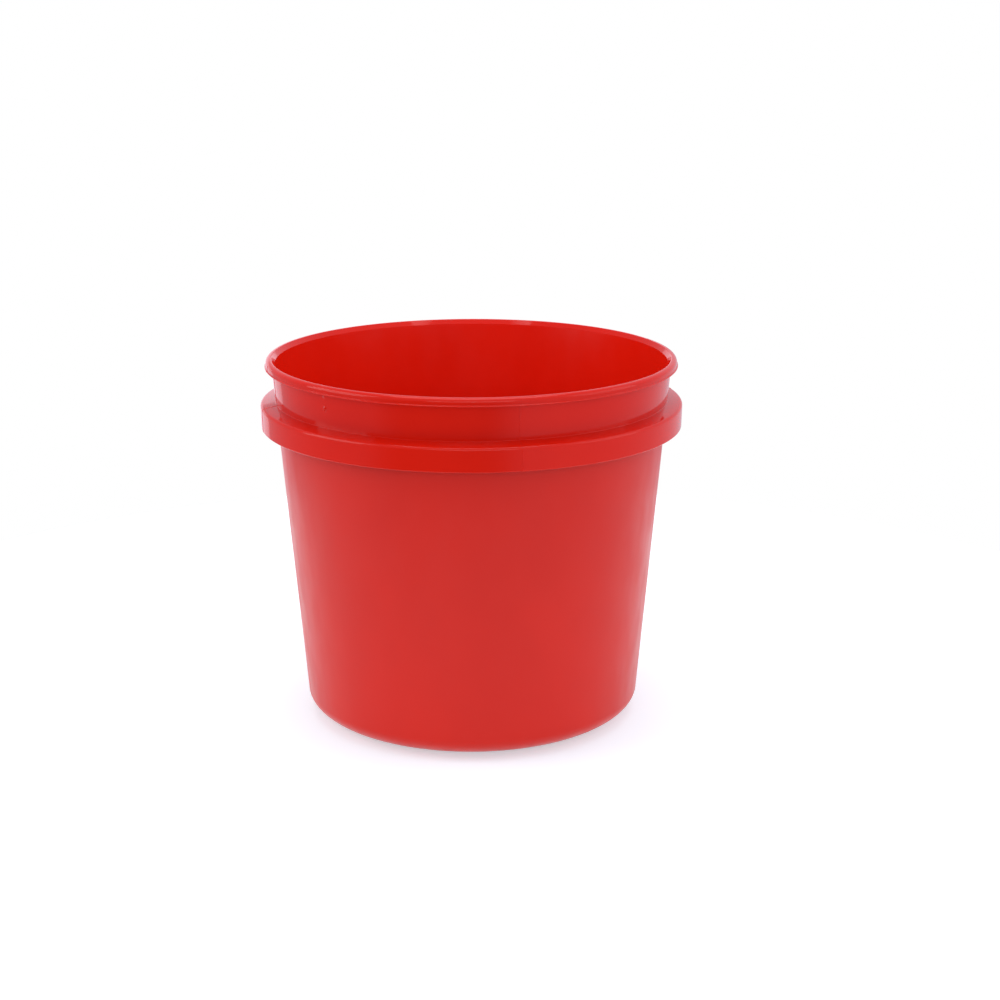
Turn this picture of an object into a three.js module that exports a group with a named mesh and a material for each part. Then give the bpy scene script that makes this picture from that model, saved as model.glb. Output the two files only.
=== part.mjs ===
// A one-gallon sand bucket: a single injection moulding in red polyethylene, with no handle and no lid.
// The moulding is split at its own creases into eight regions, one mesh each: the rolled rim, the neck
// band above the collar, the collar's ledge, the skirt that hangs from the ledge, the tapered body, the
// rounded base corner, the foot ring that the bucket stands on, and the raised base panel.
// Millimetres, +Z up. The origin is the centre of the foot ring's underside, and -Y is the front.

import * as THREE from 'three';

// ---- driving dimensions -------------------------------------------------------------------------

const HEIGHT = 179;              // standing surface to the crest of the rim
const DRAFT = 5;                 // taper of the wall, in degrees from the vertical
const FOOT_RADIUS = 81.4;        // the outer wall's cone, carried down to the standing surface
const WALL = 1.8;                // wall thickness, measured along the radius
const GAP = 0.3;                 // space between two regions that meet

const RIM_DEPTH = 3.8;           // crest to the underside of the rim
const RIM_RADIUS = 99.5;         // widest part of the rounded rim
const CREST_RADIUS = 97;         // where the rim is highest
const RIM_SHOULDER = 2.4;        // crest down to where the rim's outer face turns upright
const RIM_BEVEL = 2.2;           // height of the sloped face inside the rim
const LIP_RADIUS = 100;          // the small lip along the rim's lower edge
const LIP_DEPTH = 0.5;

const COLLAR_TOP = 158.6;        // where the ledge meets the neck
const COLLAR_RADIUS = 102.5;
const LEDGE_FALL = 1.4;          // how far the ledge drops on its way out
const COLLAR_EDGE = 1.2;         // rounding between the ledge and the skirt
const SKIRT_BOTTOM = 145.9;
const SKIRT_TAPER = 0.25;        // how much narrower the skirt is at its lower edge
const SKIRT_WALL = 1.6;

const CORNER_HEIGHT = 12;        // where the rounded base corner leaves the wall
const CORNER_REACH = 22;         // how far in the corner runs before it lies flat
const FOOT_WIDTH = 5;            // flat ring that the bucket stands on
const BASE_RISE = 1.6;           // the base panel's underside above the standing surface
const BASE_THICKNESS = 2;

const SIDES = 72;                // flats around the circumference
const EDGE_STEPS = 5;            // straight pieces in a quarter of the rim's or collar's rounding
const CORNER_STEPS = 7;          // the same for the base corner

const SATIN_RED = {
  color: new THREE.Color(0.58, 0.021, 0.012),
  roughness: 0.4,
  metalness: 0,
};
const POLISHED_RED = { ...SATIN_RED, roughness: 0.18 };

// ---- sizes worked out from them -----------------------------------------------------------------

const SLOPE = Math.tan(THREE.MathUtils.degToRad(DRAFT));
const RIM_UNDERSIDE = HEIGHT - RIM_DEPTH;
const LEDGE_EDGE = COLLAR_TOP - LEDGE_FALL;
const LEDGE_UNDERSIDE = LEDGE_EDGE - WALL;
const CORNER_CENTRE = outer(CORNER_HEIGHT) - CORNER_REACH;
const FOOT_INSIDE = CORNER_CENTRE - FOOT_WIDTH;
const FLOOR = BASE_RISE + BASE_THICKNESS;

// ---- helpers ------------------------------------------------------------------------------------

// Radius of the outer wall at a height above the standing surface.
function outer(z) {
  return FOOT_RADIUS + SLOPE * z;
}

function inner(z) {
  return outer(z) - WALL;
}

// Points along an ellipse about [r, z], both ends included. across and up are its half-axes, and
// from and to are angles in degrees.
function arc([r, z], across, up, from, to, steps) {
  return Array.from({ length: steps + 1 }, (_, i) => {
    const angle = THREE.MathUtils.degToRad(from + ((to - from) * i) / steps);
    return [r + across * Math.cos(angle), z + up * Math.sin(angle)];
  });
}

// A closed mesh made by turning a profile of [radius, height] points about the vertical axis. The
// profile runs anticlockwise, with the radius to the right and the height upwards.
function turned(name, look, profile) {
  const points = [...profile, profile[0]].map(([r, z]) => new THREE.Vector2(r, z));
  const geometry = new THREE.LatheGeometry(points, SIDES);
  geometry.rotateX(Math.PI / 2);
  const mesh = new THREE.Mesh(geometry, new THREE.MeshStandardMaterial(look));
  mesh.name = name;
  return mesh;
}

// A plain stretch of the tapered wall.
function wall(name, look, bottom, top) {
  return turned(name, look, [
    [inner(bottom), bottom],
    [outer(bottom), bottom],
    [outer(top), top],
    [inner(top), top],
  ]);
}

// ---- the regions, from the top down -------------------------------------------------------------

// Rounded on the outside, with a small lip along the lower edge and a sloped face inside.
function rimBead() {
  const shoulder = [CREST_RADIUS, HEIGHT - RIM_SHOULDER];
  const bevelFoot = HEIGHT - RIM_BEVEL;
  return turned('rim_bead', POLISHED_RED, [
    [inner(RIM_UNDERSIDE), RIM_UNDERSIDE],
    [LIP_RADIUS, RIM_UNDERSIDE],
    [LIP_RADIUS, RIM_UNDERSIDE + LIP_DEPTH],
    ...arc(shoulder, RIM_RADIUS - CREST_RADIUS, RIM_SHOULDER, 0, 90, EDGE_STEPS),
    [inner(bevelFoot), bevelFoot],
  ]);
}

function neckBand() {
  return wall('neck_band', POLISHED_RED, COLLAR_TOP + GAP / 2, RIM_UNDERSIDE - GAP);
}

// A shelf around the wall that slopes down to a rounded outer edge.
function collarLedge() {
  const edge = [COLLAR_RADIUS - COLLAR_EDGE, LEDGE_EDGE - COLLAR_EDGE];
  return turned('collar_ledge', POLISHED_RED, [
    [outer(COLLAR_TOP) + GAP, COLLAR_TOP - WALL],
    [COLLAR_RADIUS, LEDGE_UNDERSIDE],
    ...arc(edge, COLLAR_EDGE, COLLAR_EDGE, 0, 90, EDGE_STEPS),
    [outer(COLLAR_TOP) + GAP, COLLAR_TOP],
  ]);
}

// Hangs from the ledge, clear of the wall, so that the rim of a bucket stacked below fits behind it.
function collarSkirt() {
  const top = LEDGE_UNDERSIDE - GAP;
  return turned('collar_skirt', POLISHED_RED, [
    [COLLAR_RADIUS - SKIRT_TAPER - SKIRT_WALL, SKIRT_BOTTOM],
    [COLLAR_RADIUS - SKIRT_TAPER, SKIRT_BOTTOM],
    [COLLAR_RADIUS, top],
    [COLLAR_RADIUS - SKIRT_WALL, top],
  ]);
}

function bodyWall() {
  return wall('body_wall', SATIN_RED, CORNER_HEIGHT + GAP / 2, COLLAR_TOP - GAP / 2);
}

// The wall rounds in and down to the foot ring. Inside, the same curve ends at the floor.
function baseCorner() {
  const centre = [CORNER_CENTRE, CORNER_HEIGHT - GAP / 2];
  const height = centre[1];
  return turned('base_corner', SATIN_RED, [
    ...arc(centre, CORNER_REACH, height, -90, 0, CORNER_STEPS),
    ...arc(centre, CORNER_REACH - WALL, height - FLOOR, 0, -90, CORNER_STEPS),
  ]);
}

function footRing() {
  return turned('foot_ring', SATIN_RED, [
    [FOOT_INSIDE, 0],
    [CORNER_CENTRE - GAP, 0],
    [CORNER_CENTRE - GAP, FLOOR],
    [FOOT_INSIDE, FLOOR],
  ]);
}

// A flat disc, held off the standing surface.
function basePanel() {
  const radius = FOOT_INSIDE - GAP;
  return turned('base_panel', SATIN_RED, [
    [0, BASE_RISE],
    [radius, BASE_RISE],
    [radius, FLOOR],
    [0, FLOOR],
  ]);
}

const bucket = new THREE.Group();
bucket.add(rimBead());
bucket.add(neckBand());
bucket.add(collarLedge());
bucket.add(collarSkirt());
bucket.add(bodyWall());
bucket.add(baseCorner());
bucket.add(footRing());
bucket.add(basePanel());

export default bucket;
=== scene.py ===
"""The sand bucket's looks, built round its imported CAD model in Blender 4.5.

The bucket is one red plastic moulding. The CAD model holds it as eight plain regions. Each of them is
replaced here by a finely turned piece with the moulding's real fillets, edges, parting lines and marks.
Neighbouring pieces meet face to face, so the bucket looks like one moulding. Profiles are written in
millimetres as (radius, height), and their main sizes are read from the CAD nodes.
"""

import math

import bmesh
import bpy
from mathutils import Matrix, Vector


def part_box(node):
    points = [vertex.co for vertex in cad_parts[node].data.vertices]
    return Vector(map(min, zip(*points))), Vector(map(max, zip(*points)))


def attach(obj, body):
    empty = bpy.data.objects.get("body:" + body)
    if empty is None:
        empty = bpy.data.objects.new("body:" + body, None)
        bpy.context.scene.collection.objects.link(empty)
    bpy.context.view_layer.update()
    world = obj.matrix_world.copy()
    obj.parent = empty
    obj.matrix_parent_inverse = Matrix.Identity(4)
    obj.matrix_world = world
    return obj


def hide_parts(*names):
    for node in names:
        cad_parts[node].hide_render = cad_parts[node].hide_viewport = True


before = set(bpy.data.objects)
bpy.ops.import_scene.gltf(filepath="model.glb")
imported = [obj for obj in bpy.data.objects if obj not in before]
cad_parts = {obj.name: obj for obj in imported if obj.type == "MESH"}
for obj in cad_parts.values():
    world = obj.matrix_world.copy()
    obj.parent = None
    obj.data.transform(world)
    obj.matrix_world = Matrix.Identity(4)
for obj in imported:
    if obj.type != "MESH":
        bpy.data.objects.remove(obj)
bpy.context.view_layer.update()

# ---- sizes read from the CAD model, in millimetres ----------------------------------------------

MM = 0.001


def lower_corner(node):
    """The lower corner of a CAD node's box."""
    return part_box(node)[0] / MM


def upper_corner(node):
    """The upper corner of a CAD node's box."""
    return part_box(node)[1] / MM


rim_low = lower_corner("rim_bead")
rim_high = upper_corner("rim_bead")
neck_high = upper_corner("neck_band")
ledge_low = lower_corner("collar_ledge")
ledge_high = upper_corner("collar_ledge")
skirt_low = lower_corner("collar_skirt")
wall_high = upper_corner("body_wall")
corner_high = upper_corner("base_corner")
foot_high = upper_corner("foot_ring")
panel_low = lower_corner("base_panel")
panel_high = upper_corner("base_panel")

SLOPE = (neck_high.x - wall_high.x) / (neck_high.z - wall_high.z)
GAP = 0.3                    # between neighbouring CAD solids, which the pieces here close

# ---- sizes of the moulding, in millimetres ------------------------------------------------------

WALL = 1.8                   # wall thickness, measured along the radius

CREST_RADIUS = 96.8          # where the rim's top meets the sloped face inside it
CREST_ROUNDING = 0.5
BEVEL_DEPTH = 2.2            # height of that sloped face
BEAD_RADIUS = 99.5           # widest part of the rounded rim, above the lip
BEAD_ROUNDING = 2.3          # height of the bead's rounding, with the lip's fillet
LIP_DEPTH = 0.3
LIP_ROUNDING = 0.15
LIP_FILLET = 0.3             # between the lip and the bead above it
RIM_FILLET = 0.25            # between the rim's underside and the neck

NECK_TOP = rim_low.z - 0.7         # where the neck's piece meets the rim's
NECK_BOTTOM = ledge_high.z - 0.6   # where it meets the body's
NECK_FILLET = 0.2            # between the neck and the ledge
NECK_FOOT = 96.8             # how far out the neck's fillet and a little of the ledge reach

LEDGE_FALL = 1.4             # how far the ledge drops on its way out
LEDGE_ROOT = 1.2             # how far its piece goes down the wall below its underside
COLLAR_EDGE = 1.5            # rounding between the ledge and the skirt
SKIRT_TOP = ledge_low.z - 0.9      # where the skirt's piece meets the ledge's
SKIRT_TAPER = 0.25           # how much narrower the skirt is at its lower edge
SKIRT_WALL = 1.6
SKIRT_LIP = 0.45             # rounding of the skirt's lower edge
INNER_FILLET = 0.6           # between the ledge's underside, the wall and the skirt

CORNER_TOP = corner_high.z
WALL_BOTTOM = CORNER_TOP + GAP     # where the body's piece meets the base corner's
CORNER_START = foot_high.x + GAP   # where the base corner's curve ends, flat on the ground
FOOT_INNER = panel_high.x + GAP    # inner radius of the foot ring
BASE_EDGE = FOOT_INNER - 1.5       # where the base's piece meets the foot ring's
RECESS_SLOPE = 0.3           # half the width of the step from the foot ring up to the base panel
RECESS_FILLET = 0.5          # at both edges of that step

GATE_RADIUS = 5.2            # the shallow dimple in the base that the plastic was injected through
GATE_FLOOR_RADIUS = 4.4
GATE_DEPTH = 0.5
GATE_EDGE = 0.3
GATE_FILLET = 0.4
STUB_RADIUS = 1.1            # the broken-off stub in its middle
STUB_HEIGHT = 0.35
STUB_ROUNDING = 0.15
STUB_FILLET = 0.1            # at the stub's root, which is wider by as much
BUTTON_RADIUS = 6.5          # the low round button inside the bucket, opposite the gate
BUTTON_HEIGHT = 0.4
BUTTON_EDGE = 0.4            # half the width of its sloped edge, and the roundings there

PARTING_ANGLE = 12.8         # the first of the mould's four parting lines, in degrees from +X
PARTING_HEIGHT = 0.12
PARTING_HALF_WIDTH = 0.18

BLISTER_ANGLE = 226.1        # where two tiny blisters stand on the neck, in degrees from +X
BLISTERS = ((-5.4, 1.2, 0.85, 0.35), (-11.0, 1.3, 1.7, 0.55))
# each blister: height from the rim's crest, half its width, half its height, and how far it stands out

# ---- how finely the pieces are divided ----------------------------------------------------------

SEGMENTS = 288               # columns of faces around the bucket
FINE_COLUMNS = 12            # closer columns on each side of the column nearest the blisters
FINE_SPLIT = 10              # how many of them to one plain column
FINE_ROW = 0.25              # height of the neck's rows of faces, which also carry the blisters
ROW_HEIGHT = 4.0             # longest face up and down on a plain wall
ARC_STEP = math.radians(12)
CORNER_STEPS = 26            # up the base corner outside
INNER_CORNER_STEPS = 20
SHARP_ANGLE = math.radians(30)
ON_AXIS = 1e-6               # a radius this small is a point on the axis


def outer(z):
    """Radius of the outer wall at a height."""
    return wall_high.x + SLOPE * (z - wall_high.z)


def inner(z):
    """Radius of the inner wall at a height."""
    return outer(z) - WALL


def ledge_top(r):
    """Height of the collar's sloping top at a radius."""
    start = outer(ledge_high.z)
    return ledge_high.z - LEDGE_FALL * (r - start) / (ledge_high.x - start)


def skirt_outer(z):
    """Radius of the skirt's outer face at a height."""
    return ledge_high.x - SKIRT_TAPER * (ledge_low.z - z) / (ledge_low.z - skirt_low.z)


# ---- paths --------------------------------------------------------------------------------------


def rounded(*corners):
    """A path through (radius, height, rounding) corners, each turned on an arc of its rounding."""
    path = []
    for i, (r, z, radius) in enumerate(corners):
        here = Vector((r, z))
        if radius == 0:
            path.append(here)
            continue
        before = (Vector(corners[i - 1][:2]) - here).normalized()
        after = (Vector(corners[i + 1][:2]) - here).normalized()
        half = before.angle(after) / 2
        turn = math.pi - 2 * half
        centre = here + (before + after).normalized() * (radius / math.sin(half))
        start = here + before * (radius / math.tan(half)) - centre
        end = here + after * (radius / math.tan(half)) - centre
        steps = max(2, math.ceil(turn / ARC_STEP))
        for k in range(steps + 1):
            part = turn * k / steps
            spoke = (start * math.sin(turn - part) + end * math.sin(part)) / math.sin(turn)
            path.append(centre + spoke)
    return path


def ellipse(centre, across, up, first, last, steps):
    """Points along an ellipse, from one angle to another in degrees."""
    path = []
    for k in range(steps + 1):
        angle = math.radians(first + (last - first) * k / steps)
        path.append(Vector((centre[0] + across * math.cos(angle), centre[1] + up * math.sin(angle))))
    return path


def divided(path, longest=ROW_HEIGHT):
    """The same path with its long straight stretches split into even steps."""
    points = [path[0]]
    for a, b in zip(path, path[1:]):
        steps = max(1, math.ceil((b - a).length / longest))
        points += [a.lerp(b, k / steps) for k in range(1, steps + 1)]
    return points


def outward(path):
    """The outward direction at each point of an outer face's path, which runs upwards."""
    directions = []
    for i in range(len(path)):
        along = path[min(i + 1, len(path) - 1)] - path[max(i - 1, 0)]
        directions.append(Vector((along.y, -along.x)).normalized())
    return directions


# ---- relief: how far a surface stands out at an angle and a height --------------------------------


def plain(angle, z):
    return 0.0


def parting_ridge(angle, z):
    """The parting lines' thin ridge, the same at every height."""
    off = (angle - PARTING_ANGLE + 45) % 90 - 45
    across = abs(math.radians(off)) * ledge_high.x
    return PARTING_HEIGHT * max(0.0, 1 - across / PARTING_HALF_WIDTH)


def blisters(angle, z):
    across = math.radians(angle - BLISTER_ANGLE) * neck_high.x
    height = 0.0
    for drop, half_width, half_height, rise in BLISTERS:
        away = math.hypot(across / half_width, (z - rim_high.z - drop) / half_height)
        if away < 1:
            height += rise * math.cos(away * math.pi / 2) ** 2
    return height


def neck_relief(angle, z):
    return parting_ridge(angle, z) + blisters(angle, z)


def rim_relief(angle, z):
    """The rim's parting lines end where its rounding turns inwards."""
    return parting_ridge(angle, z) if z < rim_high.z - BEAD_ROUNDING / 2 else 0.0


# ---- turning a path into a piece ------------------------------------------------------------------


def column_angles():
    """Where the columns of vertices stand, in degrees: evenly round, and closer at the parting lines and
    the blisters."""
    step = 360 / SEGMENTS
    ridge = math.degrees(PARTING_HALF_WIDTH / ledge_high.x)
    angles = [PARTING_ANGLE + step * k for k in range(SEGMENTS)]
    for quarter in range(4):
        line = PARTING_ANGLE + 90 * quarter
        angles += [line - 3 * ridge, line - ridge, line + ridge, line + 3 * ridge]
    nearest = PARTING_ANGLE + step * round((BLISTER_ANGLE - PARTING_ANGLE) / step)
    angles += [nearest + step / FINE_SPLIT * k for k in range(-FINE_COLUMNS, FINE_COLUMNS + 1)]
    return sorted({round(angle, 4) for angle in angles})


COLUMNS = column_angles()


def vertex_rings(bm, outside, inside, relief):
    """One ring of vertices for each point of the two paths. A point on the axis is a single vertex."""
    directions = outward(outside)
    rings = []
    for i, point in enumerate(outside + inside):
        if point.x < ON_AXIS:
            rings.append([bm.verts.new((0, 0, point.y * MM))] * len(COLUMNS))
            continue
        ring = []
        for angle in COLUMNS:
            place = point
            if i < len(outside):
                place = point + directions[i] * relief(angle, point.y)
            turn = math.radians(angle)
            ring.append(bm.verts.new((place.x * math.cos(turn) * MM,
                                      place.x * math.sin(turn) * MM,
                                      place.y * MM)))
        rings.append(ring)
    return rings


def turned(name, outside, inside, relief=plain):
    """A closed piece turned about the vertical axis. Its outside path runs upwards and may carry relief,
    and its inside path runs back down and takes the piece's second material. A point at radius 0 closes
    the piece on the axis."""
    bm = bmesh.new()
    rings = vertex_rings(bm, outside, inside, relief)
    for i, ring in enumerate(rings):
        following = rings[(i + 1) % len(rings)]
        for j in range(len(COLUMNS)):
            k = (j + 1) % len(COLUMNS)
            corners = dict.fromkeys((ring[j], ring[k], following[k], following[j]))
            if len(corners) > 2:
                face = bm.faces.new(corners)
                face.material_index = int(len(outside) <= i + 1 < len(rings))
    mesh = bpy.data.meshes.new(name)
    bm.to_mesh(mesh)
    bm.free()
    mesh.shade_smooth()
    mesh.set_sharp_from_angle(angle=SHARP_ANGLE)
    piece = bpy.data.objects.new(name, mesh)
    bpy.context.scene.collection.objects.link(piece)
    weighted = piece.modifiers.new("face weighted normals", "WEIGHTED_NORMAL")
    weighted.keep_sharp = True
    weighted.weight = 100
    return piece


# ---- the pieces, from the top down --------------------------------------------------------------


def rolled_rim():
    """Rounded outside, with a small lip along the lower edge and a sloped face inside."""
    lip_top = rim_low.z + LIP_DEPTH
    bevel_foot = rim_high.z - BEVEL_DEPTH
    outside = rounded(
        (outer(NECK_TOP), NECK_TOP, 0),
        (outer(rim_low.z), rim_low.z, RIM_FILLET),
        (rim_high.x, rim_low.z, LIP_ROUNDING),
        (rim_high.x, lip_top, LIP_ROUNDING),
        (BEAD_RADIUS, lip_top + LIP_FILLET, LIP_FILLET),
        (BEAD_RADIUS, rim_high.z, BEAD_ROUNDING - LIP_FILLET),
        (CREST_RADIUS, rim_high.z, CREST_ROUNDING),
        (inner(bevel_foot), bevel_foot, 0),
    )
    inside = [Vector((inner(NECK_TOP), NECK_TOP))]
    return turned("rolled_rim", outside, inside, rim_relief)


def neck():
    """The wall between the rim and the ledge, with the fillet at its foot."""
    outside = rounded(
        (NECK_FOOT, NECK_BOTTOM, 0),
        (NECK_FOOT, ledge_top(NECK_FOOT), 0),
        (outer(ledge_high.z), ledge_high.z, NECK_FILLET),
        (outer(NECK_TOP), NECK_TOP, 0),
    )
    inside = [Vector((inner(NECK_TOP), NECK_TOP)), Vector((inner(NECK_BOTTOM), NECK_BOTTOM))]
    return turned("smooth_neck", divided(outside, FINE_ROW), divided(inside), neck_relief)


def ledge():
    """The collar's sloping shelf, its rounded edge and the top of the skirt."""
    skirt_inside = skirt_outer(SKIRT_TOP) - SKIRT_WALL
    underside = ledge_low.z
    root = underside - LEDGE_ROOT
    outside = rounded(
        (skirt_inside, SKIRT_TOP, 0),
        (skirt_outer(SKIRT_TOP), SKIRT_TOP, 0),
        (ledge_high.x, ledge_high.z - LEDGE_FALL, COLLAR_EDGE),
        (NECK_FOOT, ledge_top(NECK_FOOT), 0),
        (NECK_FOOT, NECK_BOTTOM, 0),
        (outer(NECK_BOTTOM), NECK_BOTTOM, 0),
    )
    inside = rounded(
        (outer(root), root, 0),
        (outer(underside), underside, INNER_FILLET),
        (ledge_high.x - SKIRT_WALL, underside, INNER_FILLET),
        (skirt_inside, SKIRT_TOP, 0),
    )
    return turned("sloping_ledge", divided(outside), inside[:-1], parting_ridge)


def skirt():
    """The upright wall that hangs from the ledge, with a softened lower edge."""
    foot = skirt_low.z
    outside = rounded(
        (skirt_outer(foot) - SKIRT_WALL / 2, foot, 0),
        (skirt_outer(foot), foot, SKIRT_LIP),
        (skirt_outer(SKIRT_TOP), SKIRT_TOP, 0),
    )
    inside = rounded(
        (skirt_outer(SKIRT_TOP) - SKIRT_WALL, SKIRT_TOP, 0),
        (skirt_outer(foot) - SKIRT_WALL, foot, SKIRT_LIP),
        (skirt_outer(foot) - SKIRT_WALL / 2, foot, 0),
    )
    return turned("hanging_skirt", divided(outside), divided(inside)[:-1], parting_ridge)


def body():
    """The tapered wall, from the base corner up behind the collar."""
    outside = [Vector((outer(WALL_BOTTOM), WALL_BOTTOM)), Vector((outer(NECK_BOTTOM), NECK_BOTTOM))]
    inside = [Vector((inner(NECK_BOTTOM), NECK_BOTTOM)), Vector((inner(WALL_BOTTOM), WALL_BOTTOM))]
    return turned("tapered_body", divided(outside), divided(inside))


def corner():
    """The wall rounds in and down to the foot ring. Inside, the same curve ends at the floor."""
    centre = (CORNER_START, CORNER_TOP)
    reach = outer(CORNER_TOP) - CORNER_START
    rise = CORNER_TOP - panel_high.z
    outside = ellipse(centre, reach, CORNER_TOP, -90, 0, CORNER_STEPS)
    outside.append(Vector((outer(WALL_BOTTOM), WALL_BOTTOM)))
    inside = [Vector((inner(WALL_BOTTOM), WALL_BOTTOM))]
    inside += ellipse(centre, reach - WALL, rise, 0, -90, INNER_CORNER_STEPS)
    return turned("round_base_corner", outside, inside)


def foot():
    """The flat ring that the bucket stands on, and the step up to the base panel inside it."""
    outside = rounded(
        (BASE_EDGE, panel_low.z, 0),
        (FOOT_INNER - RECESS_SLOPE, panel_low.z, RECESS_FILLET),
        (FOOT_INNER + RECESS_SLOPE, 0, RECESS_FILLET),
        (CORNER_START, 0, 0),
    )
    inside = [Vector((CORNER_START, panel_high.z)), Vector((BASE_EDGE, panel_high.z))]
    return turned("standing_ring", outside, inside)


def base():
    """The raised panel inside the foot ring, with the gate's mark under it and its button on top."""
    under = panel_low.z
    gate_floor = under + GATE_DEPTH
    top = panel_high.z
    outside = rounded(
        (0, gate_floor - STUB_HEIGHT, 0),
        (STUB_RADIUS, gate_floor - STUB_HEIGHT, STUB_ROUNDING),
        (STUB_RADIUS + STUB_FILLET, gate_floor, STUB_FILLET),
        (GATE_FLOOR_RADIUS, gate_floor, GATE_FILLET),
        (GATE_RADIUS, under, GATE_EDGE),
        (BASE_EDGE, under, 0),
    )
    inside = rounded(
        (BASE_EDGE, top, 0),
        (BUTTON_RADIUS + BUTTON_EDGE, top, BUTTON_EDGE),
        (BUTTON_RADIUS - BUTTON_EDGE, top + BUTTON_HEIGHT, BUTTON_EDGE),
        (0, top + BUTTON_HEIGHT, 0),
    )
    return turned("base_disc", divided(outside), divided(inside))


# ---- materials ----------------------------------------------------------------------------------

RED = (0.635, 0.0110, 0.0028, 1)
DEEP_RED = (0.61, 0.0098, 0.0023, 1)
SATIN_RED = (0.59, 0.0105, 0.0026, 1)
DEEP_SATIN_RED = (0.565, 0.0093, 0.0021, 1)
INNER_LIT_RED = (0.73, 0.0115, 0.0026, 1)   # painted light: the inside's red is brighter than the outside's, standing in for light that comes through the thin wall
INNER_LIT_DEEP_RED = (0.71, 0.0105, 0.0022, 1)

PLASTIC_IOR = 1.5
PLASTIC_SHINE = 0.25
CLOUD_SIZE = 34              # of the cloudy colour, in millimetres
PATCH_SIZE = 9               # of the uneven gloss
WAVE_SIZE = 7                # of the slow ripples along the wall
WAVE_DEPTH = 0.004


class Nodes:
    """A short way to add and join shader nodes in one node tree."""

    def __init__(self, tree):
        self.tree = tree

    def add(self, kind, inputs=(), **settings):
        node = self.tree.nodes.new(kind)
        for key, value in settings.items():
            setattr(node, key, value)
        for key, value in dict(inputs).items():
            if isinstance(value, bpy.types.NodeSocket):
                self.tree.links.new(value, node.inputs[key])
            else:
                node.inputs[key].default_value = value
        return node

    def place(self, kind="Object"):
        return self.add("ShaderNodeTexCoord").outputs[kind]

    def axis(self, vector, name):
        return self.add("ShaderNodeSeparateXYZ", {"Vector": vector}).outputs[name]

    def noise(self, size_mm, stretch=(1, 1, 1), detail=2.0):
        """Noise whose spots are about size_mm across, made longer by stretch."""
        scale = [1 / (size_mm * MM * s) for s in stretch]
        mapping = self.add("ShaderNodeMapping", {"Vector": self.place(), "Scale": scale})
        noise = self.add("ShaderNodeTexNoise",
                         {"Vector": mapping.outputs["Vector"], "Scale": 1.0, "Detail": detail})
        return noise.outputs["Fac"]

    def ramp(self, value, start, end, low, high):
        """Goes smoothly from low, where value is start or less, to high, where it is end or more."""
        limits = {"Value": value, "From Min": start, "From Max": end, "To Min": low, "To Max": high}
        return self.add("ShaderNodeMapRange", limits, interpolation_type="SMOOTHSTEP").outputs["Result"]

    def between(self, noise, low, high):
        """Turns noise, which stays near the middle, into numbers from low to high."""
        return self.ramp(noise, 0.3, 0.7, low, high)

    def bump(self, height, depth_mm, under=None):
        inputs = {"Height": height, "Strength": 1.0, "Distance": depth_mm * MM}
        if under is not None:
            inputs["Normal"] = under
        return self.add("ShaderNodeBump", inputs).outputs["Normal"]


def red_plastic(name, reds, roughness, grain_size, grain_depth):
    """Cloudy red with uneven gloss, slow ripples and fine grain. Sizes and depths are in millimetres."""
    material = bpy.data.materials.new(name)
    material.use_nodes = True
    n = Nodes(material.node_tree)
    shader = n.tree.nodes["Principled BSDF"]
    clouds = n.noise(CLOUD_SIZE, stretch=(1, 1, 1.6))
    colour = n.add("ShaderNodeMix", {"Factor": n.between(clouds, 0.0, 1.0)}, data_type="RGBA")
    # the node's sockets 6 and 7 are its two colours, and its output 2 is their mixture
    colour.inputs[6].default_value, colour.inputs[7].default_value = reds
    n.tree.links.new(colour.outputs[2], shader.inputs["Base Color"])
    patches = n.noise(PATCH_SIZE, stretch=(1, 1, 2.5))
    n.tree.links.new(n.between(patches, *roughness), shader.inputs["Roughness"])
    waves = n.bump(n.noise(WAVE_SIZE, stretch=(1, 1, 6)), WAVE_DEPTH)
    grain = n.bump(n.noise(grain_size), grain_depth, waves)
    n.tree.links.new(grain, shader.inputs["Normal"])
    shader.inputs["IOR"].default_value = PLASTIC_IOR
    shader.inputs["Specular IOR Level"].default_value = PLASTIC_SHINE
    return material


def polished_red():
    return red_plastic("polished_red", (RED, DEEP_RED), (0.05, 0.10), 1.6, 0.0008)


def satin_red():
    return red_plastic("satin_red", (SATIN_RED, DEEP_SATIN_RED), (0.28, 0.36), 0.4, 0.003)


# painted light: a brighter copy of the red plastic for the inside, standing in for light that comes
# through the wall
def lit_inner_red():
    return red_plastic("lit_inner_red", (INNER_LIT_RED, INNER_LIT_DEEP_RED), (0.18, 0.24), 0.8, 0.002)


# ---- the studio, in metres ------------------------------------------------------------------------

CAMERA_DISTANCE = 1.01572
CAMERA_TILT = 15.2553
CAMERA_AIM = Vector((0.01385, 0, 0.1058))
CAMERA_LENS = 73.904         # in millimetres, like the sensor
CAMERA_SENSOR = 36

TABLE_RADIUS = 0.42
TABLE_SIDES = 96
TABLE_SKIN = (0.8, 0.8, 0.8, 1)
TABLE_GLOW = (0.30, 0.46, 0.49, 1)
TABLE_ROUGHNESS = 0.9

WHITE = (1, 1, 1, 1)
ROOM_COLOUR = (0.98, 0.88, 1.0, 1)
ROOM_LEFT = 0.57             # how bright the room is on the left and on the right
ROOM_RIGHT = 0.84
ROOM_SIDE = 0.8              # how far to a side it stops changing, as the X of a direction
ROOM_FRONT = 0.28            # the share of that which is left behind the camera, where nothing is lit
DARK_SIDE = Vector((-0.25, -0.92, -0.3)).normalized()
DARK_START = 0.7             # cosines of the angles from the dark side between which the room darkens
DARK_END = 0.95

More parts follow.
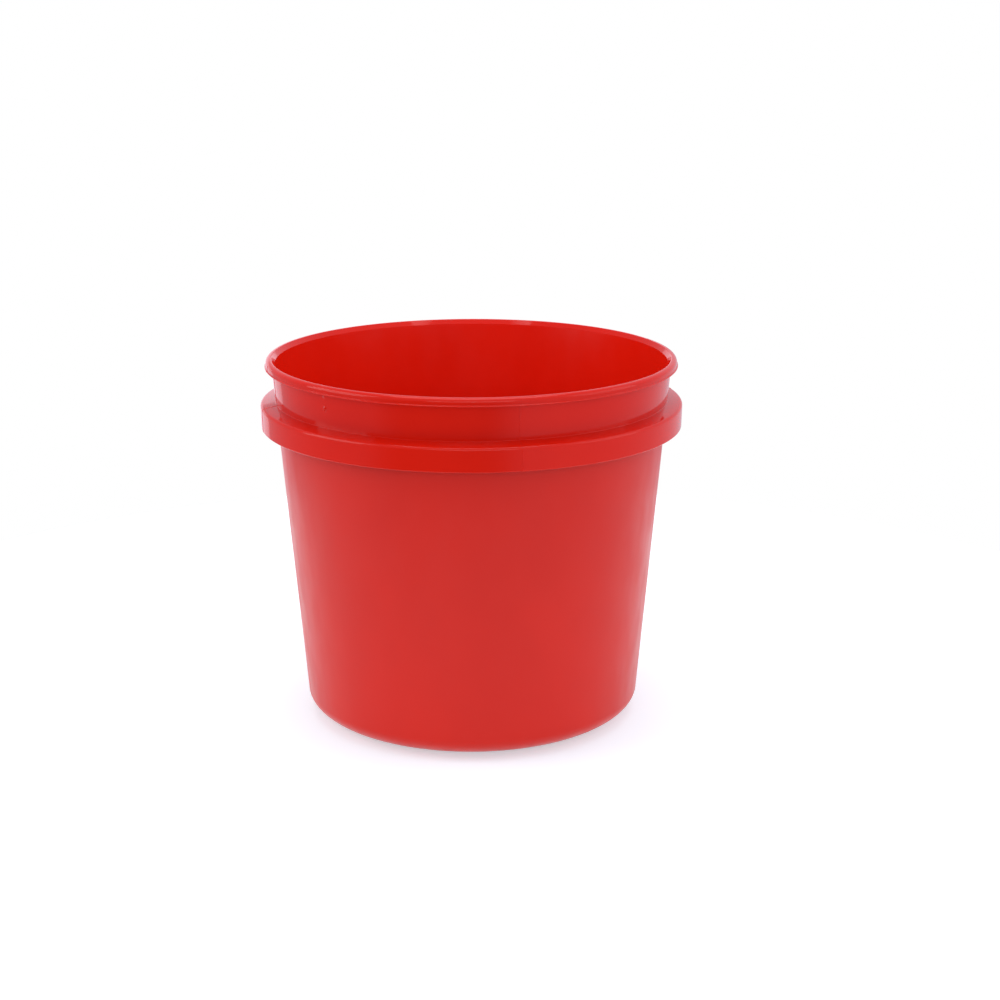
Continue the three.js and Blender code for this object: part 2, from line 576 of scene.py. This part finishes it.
TOP_WHITE = (1, 0.96, 0.97)
SOFT_WHITE = (1, 0.97, 0.98)
BACK_WHITE = (0.98, 0.9, 1.0)
LIGHTS = {
    # name: (place, what it points at, width, height, watts, colour)
    "top_softbox": ((0, 0.05, 1.1), (0, 0.05, 0), 0.8, 0.6, 3.8, TOP_WHITE),
    "front_softbox": ((0, -1.4, 0.6), (0, 0, 0.1), 1.2, 0.4, 3.3, SOFT_WHITE),
    "left_softbox": ((-0.9, -0.2, 0.5), (0, 0, 0.1), 0.7, 0.7, 3.4, SOFT_WHITE),
    "right_softbox": ((0.9, -0.2, 0.5), (0, 0, 0.1), 0.7, 0.7, 1.4, SOFT_WHITE),
    "back_card": ((-0.28, 0.85, 0.05), (-0.28, 0, 0.05), 0.92, 0.6, 1.0, BACK_WHITE),
}


def table_top():
    """The skin of a light table. Its glow and the studio's light on it add up to white."""
    material = bpy.data.materials.new("table_top")
    material.use_nodes = True
    shader = material.node_tree.nodes["Principled BSDF"]
    shader.inputs["Base Color"].default_value = TABLE_SKIN
    shader.inputs["Roughness"].default_value = TABLE_ROUGHNESS
    shader.inputs["Specular IOR Level"].default_value = 0
    shader.inputs["Emission Color"].default_value = TABLE_GLOW
    shader.inputs["Emission Strength"].default_value = 1
    return material


def light_table():
    """The plain white floor that the bucket stands on."""
    bm = bmesh.new()
    bmesh.ops.create_circle(bm, cap_ends=True, segments=TABLE_SIDES, radius=TABLE_RADIUS)
    mesh = bpy.data.meshes.new("light_table")
    bm.to_mesh(mesh)
    bm.free()
    mesh.materials.append(table_top())
    table = bpy.data.objects.new("light_table", mesh)
    bpy.context.scene.collection.objects.link(table)


def studio_world():
    """White where the camera looks past the table. As light, the room is brighter on the right, and dark
    behind the camera."""
    world = bpy.data.worlds.new("studio_world")
    bpy.context.scene.world = world
    world.use_nodes = True
    n = Nodes(world.node_tree)
    n.tree.nodes.clear()
    direction = n.place("Generated")
    across = n.ramp(n.axis(direction, "X"), -ROOM_SIDE, ROOM_SIDE, ROOM_LEFT, ROOM_RIGHT)
    facing = n.add("ShaderNodeVectorMath", {0: direction, 1: DARK_SIDE}, operation="DOT_PRODUCT")
    lit = n.ramp(facing.outputs["Value"], DARK_START, DARK_END, 1, ROOM_FRONT)
    glow = n.add("ShaderNodeMath", {0: across, 1: lit}, operation="MULTIPLY").outputs["Value"]
    room = n.add("ShaderNodeBackground", {"Color": ROOM_COLOUR, "Strength": glow})
    white = n.add("ShaderNodeBackground", {"Color": WHITE})
    seen = n.add("ShaderNodeLightPath").outputs["Is Camera Ray"]
    mix = n.add("ShaderNodeMixShader", {0: seen, 1: room.outputs[0], 2: white.outputs[0]})
    n.add("ShaderNodeOutputWorld", {"Surface": mix.outputs["Shader"]})


def studio_lights():
    for name, (place, target, width, height, watts, colour) in LIGHTS.items():
        lamp = bpy.data.lights.new(name, "AREA")
        lamp.shape = "RECTANGLE"
        lamp.size = width
        lamp.size_y = height
        lamp.energy = watts
        lamp.color = colour
        light = bpy.data.objects.new(name, lamp)
        light.location = place
        aim = Vector(target) - Vector(place)
        light.rotation_euler = aim.to_track_quat("-Z", "Y").to_euler()
        light.visible_camera = False
        bpy.context.scene.collection.objects.link(light)


def studio_camera():
    """It stands in front of the bucket and looks a little to the right of its axis."""
    lens = bpy.data.cameras.new("camera")
    lens.sensor_width = CAMERA_SENSOR
    lens.lens = CAMERA_LENS
    camera = bpy.data.objects.new("camera", lens)
    tilt = math.radians(CAMERA_TILT)
    on_axis = Vector((0, 0, CAMERA_AIM.z))
    camera.location = on_axis + CAMERA_DISTANCE * Vector((0, -math.cos(tilt), math.sin(tilt)))
    aim = CAMERA_AIM - camera.location
    camera.rotation_euler = aim.to_track_quat("-Z", "Y").to_euler()
    bpy.context.scene.collection.objects.link(camera)
    bpy.context.scene.camera = camera


# ---- putting it together ------------------------------------------------------------------------


def finish_piece(piece, node, outside, inside):
    piece.data.materials.append(outside)
    piece.data.materials.append(inside)
    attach(piece, "root")
    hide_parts(node)


polished = polished_red()
satin = satin_red()
# the inside's material: its brighter red is painted light, standing in for light through the wall
lit_lining = lit_inner_red()
for piece, node in ((rolled_rim(), "rim_bead"), (neck(), "neck_band"),
                    (ledge(), "collar_ledge"), (skirt(), "collar_skirt")):
    finish_piece(piece, node, polished, lit_lining)
for piece, node in ((body(), "body_wall"), (corner(), "base_corner"),
                    (foot(), "foot_ring"), (base(), "base_panel")):
    finish_piece(piece, node, satin, lit_lining)

light_table()
studio_world()
studio_lights()
studio_camera()
bpy.context.scene.view_settings.view_transform = "Standard"
